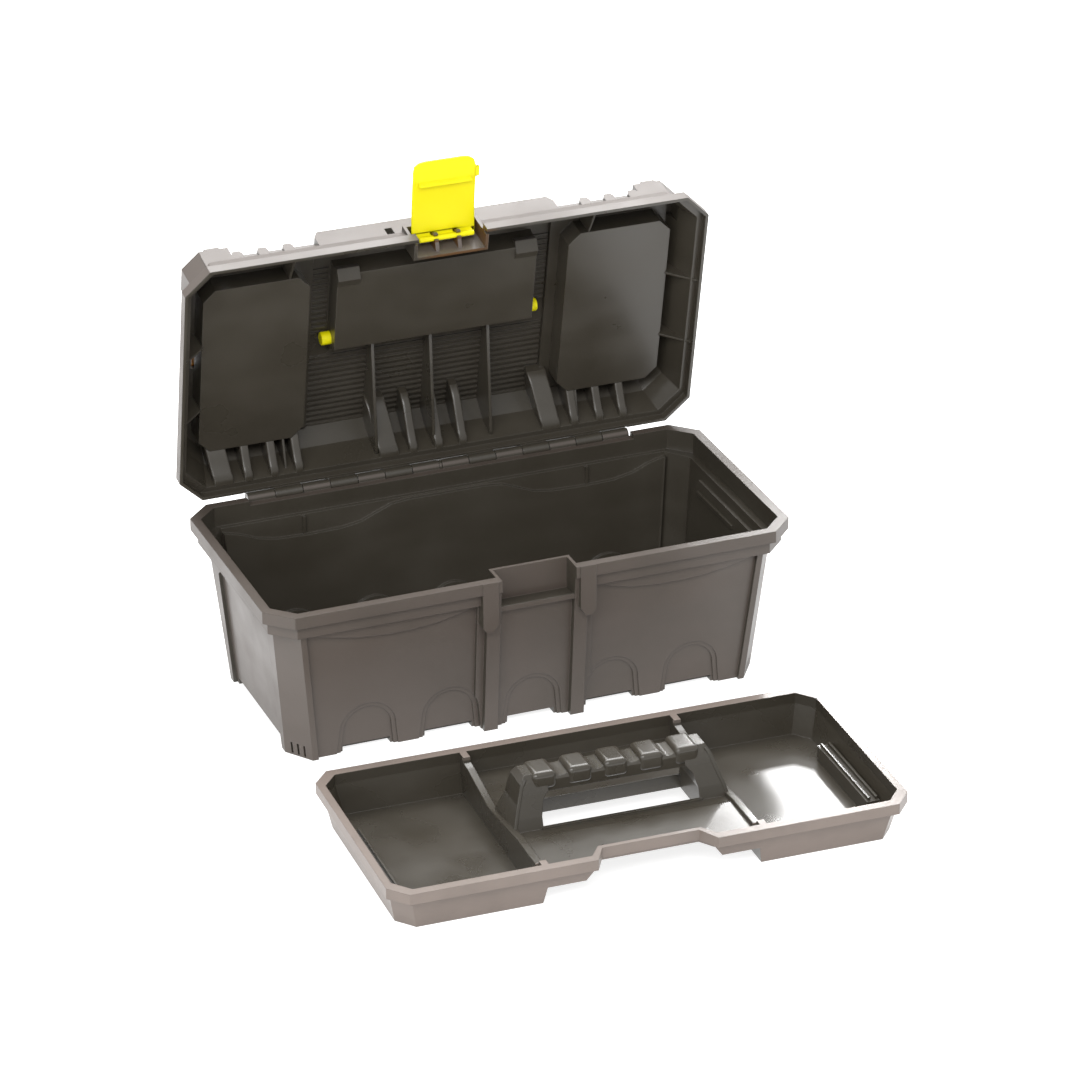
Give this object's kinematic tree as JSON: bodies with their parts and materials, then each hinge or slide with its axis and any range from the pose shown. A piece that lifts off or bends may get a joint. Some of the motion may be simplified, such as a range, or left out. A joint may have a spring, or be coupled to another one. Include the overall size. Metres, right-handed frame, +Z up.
{
  "type": "toolbox",
  "caption": "Moulded plastic toolbox with a hinged lid, front latch flap, folding carry handle, lidded organiser wells and a lift-out tray with its own grip.",
  "frame": {"origin": "on the floor, at the centre of the base's footprint", "axes": "+X along the box to its right end seen from the front, +Y to the back where the hinge is, +Z up"},
  "size_m": [0.401, 0.4909, 0.3716],
  "materials": {
    "body_plastic": "moulded, satin to semi-gloss",
    "tray_plastic": "moulded, semi-gloss",
    "accent_plastic": "moulded, semi-gloss",
    "cover_plastic": "clear amber-tinted moulding",
    "pin_steel": "drawn wire"
  },
  "bodies": {
    "base": {"base_tub": "body_plastic", "hinge_pin_left": "pin_steel", "hinge_pin_right": "pin_steel"},
    "lid": {"lid_shell": "body_plastic"},
    "latch": {"latch_flap": "accent_plastic"},
    "carry_handle": {"carry_handle": "accent_plastic"},
    "cover_left": {"organiser_cover_left": "cover_plastic"},
    "cover_right": {"organiser_cover_right": "cover_plastic"},
    "tray": {"lift_out_tray": "tray_plastic"}
  },
  "joints": [
    {"name": "lid_hinge", "type": "hinge", "parent": "base", "child": "lid", "pos_m": [0, 0.1025, 0.121], "axis": [1, 0, 0], "range_deg": [-22, 78.4]},
    {"name": "latch_hinge", "type": "hinge", "parent": "lid", "child": "latch", "pos_m": [0, 0.07947, 0.31279], "axis": [1, 0, 0], "range_deg": [0, 95]},
    {"name": "carry_handle_hinge", "type": "hinge", "parent": "lid", "child": "carry_handle", "pos_m": [0, 0.11989, 0.23023], "axis": [-1, 0, 0], "range_deg": [0, 95]},
    {"name": "cover_left_hinge", "type": "hinge", "parent": "lid", "child": "cover_left", "pos_m": [-0.0965, 0.12592, 0.23044], "axis": [0, 0.2011, -0.9796], "range_deg": [0, 100]},
    {"name": "cover_right_hinge", "type": "hinge", "parent": "lid", "child": "cover_right", "pos_m": [0.0965, 0.12592, 0.23044], "axis": [0, -0.2011, 0.9796], "range_deg": [0, 100]},
    {"name": "tray_lift", "type": "slide", "parent": "base", "child": "tray", "axis": [0, 0, 1], "range_m": [0, 0.2]}
  ]
}
